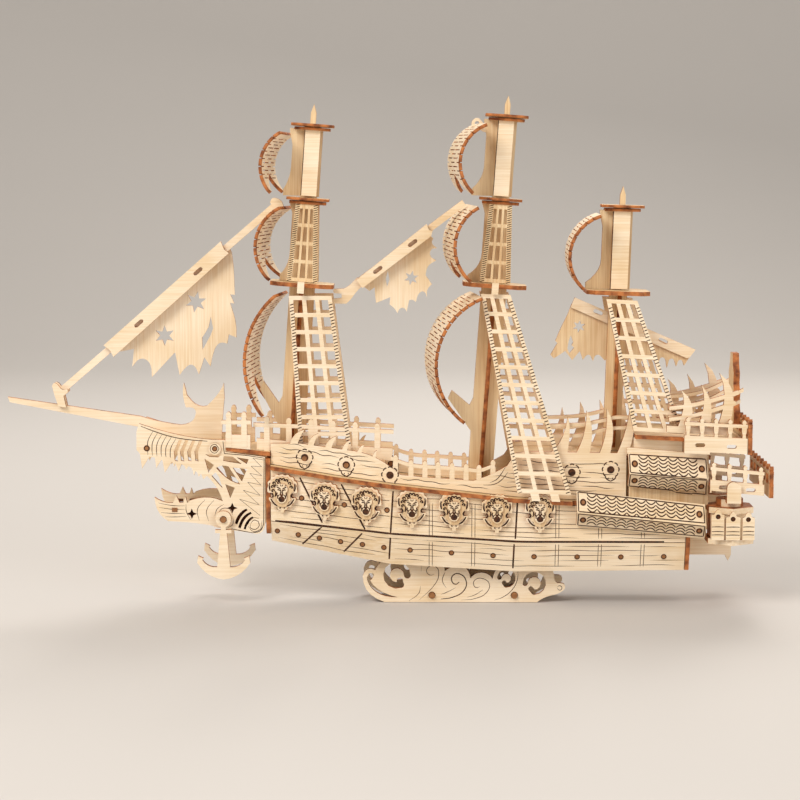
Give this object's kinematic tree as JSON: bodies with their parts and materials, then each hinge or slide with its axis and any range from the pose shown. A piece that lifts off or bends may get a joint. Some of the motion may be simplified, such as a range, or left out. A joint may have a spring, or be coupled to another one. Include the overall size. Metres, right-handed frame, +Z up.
{
  "type": "wooden 3d jigsaw model",
  "caption": "Laser-cut plywood pirate ship puzzle with a monster's head at the bow, bowed sails on three masts, stern galleries and a wave-shaped stand.",
  "frame": {"origin": "middle of the model's box in plan, on the underside of the stand", "axes": "+X to the stern, +Y to starboard, +Z up; the monster's head looks to -X"},
  "size_m": [0.363, 0.0638, 0.2407],
  "materials": {
    "pale_ply": "laser-cut basswood ply, bare, pale side",
    "sail_ply": "laser-cut basswood ply, bare",
    "deck_ply": "laser-cut basswood ply, bare, darker inner sheet",
    "burnt_ply": "laser-cut basswood ply with burnt edges",
    "dowel": "wooden peg, end burnt brown"
  },
  "bodies": {
    "root": {"bilge_strake_port": "pale_ply", "bilge_strake_starboard": "pale_ply", "bow_frame": "burnt_ply", "bulwark_port": "pale_ply", "bulwark_starboard": "pale_ply", "cheek_port": "pale_ply", "cheek_starboard": "pale_ply", "figurehead": "pale_ply", "fore_low_sail": "sail_ply", "fore_mast": "deck_ply", "fore_mid_sail": "sail_ply", "fore_platform": "burnt_ply", "fore_shroud_port": "pale_ply", "fore_shroud_starboard": "pale_ply", "fore_top_sail": "sail_ply", "forecastle_deck": "deck_ply", "gaff": "sail_ply", "gun_strake_port": "pale_ply", "gun_strake_starboard": "pale_ply", "jaw_pin": "dowel", "jib_yard": "sail_ply", "keel_spine": "deck_ply", "lower_roof_port": "sail_ply", "lower_roof_starboard": "sail_ply", "main_deck": "burnt_ply", "main_low_sail": "sail_ply", "main_mast": "deck_ply", "main_mid_sail": "sail_ply", "main_platform": "burnt_ply", "main_shroud_port": "pale_ply", "main_shroud_starboard": "pale_ply", "main_top_sail": "sail_ply", "mizzen_mast": "deck_ply", "mizzen_platform": "burnt_ply", "mizzen_sail": "sail_ply", "mizzen_shroud_port": "pale_ply", "mizzen_shroud_starboard": "pale_ply", "mizzen_top_sail": "sail_ply", "poop_deck": "deck_ply", "poop_gallery_port": "pale_ply", "poop_gallery_starboard": "pale_ply", "poop_transom": "burnt_ply", "quarter_deck": "deck_ply", "stand_dowel_aft": "dowel", "stand_dowel_fore": "dowel", "stand_wave_port": "pale_ply", "stand_wave_starboard": "pale_ply", "stern_crest": "burnt_ply", "stern_frame": "deck_ply", "stern_gallery_port": "pale_ply", "stern_gallery_starboard": "pale_ply", "stern_transom": "burnt_ply", "turret_port": "pale_ply", "turret_starboard": "pale_ply", "tusk_rail_port": "pale_ply", "tusk_rail_starboard": "pale_ply", "upper_roof_port": "sail_ply", "upper_roof_starboard": "sail_ply"},
    "port_anchor": {"anchor_port": "pale_ply"},
    "starboard_anchor": {"anchor_starboard": "pale_ply"}
  },
  "joints": [
    {"name": "port_anchor_swing", "type": "hinge", "parent": "root", "child": "port_anchor", "pos_m": [-0.0771, -0.0159, 0.0412], "axis": [0, 1, 0], "range_deg": [-12, 75]},
    {"name": "starboard_anchor_swing", "type": "hinge", "parent": "root", "child": "starboard_anchor", "pos_m": [-0.0771, 0.0159, 0.0412], "axis": [0, 1, 0], "range_deg": [-12, 75]}
  ]
}
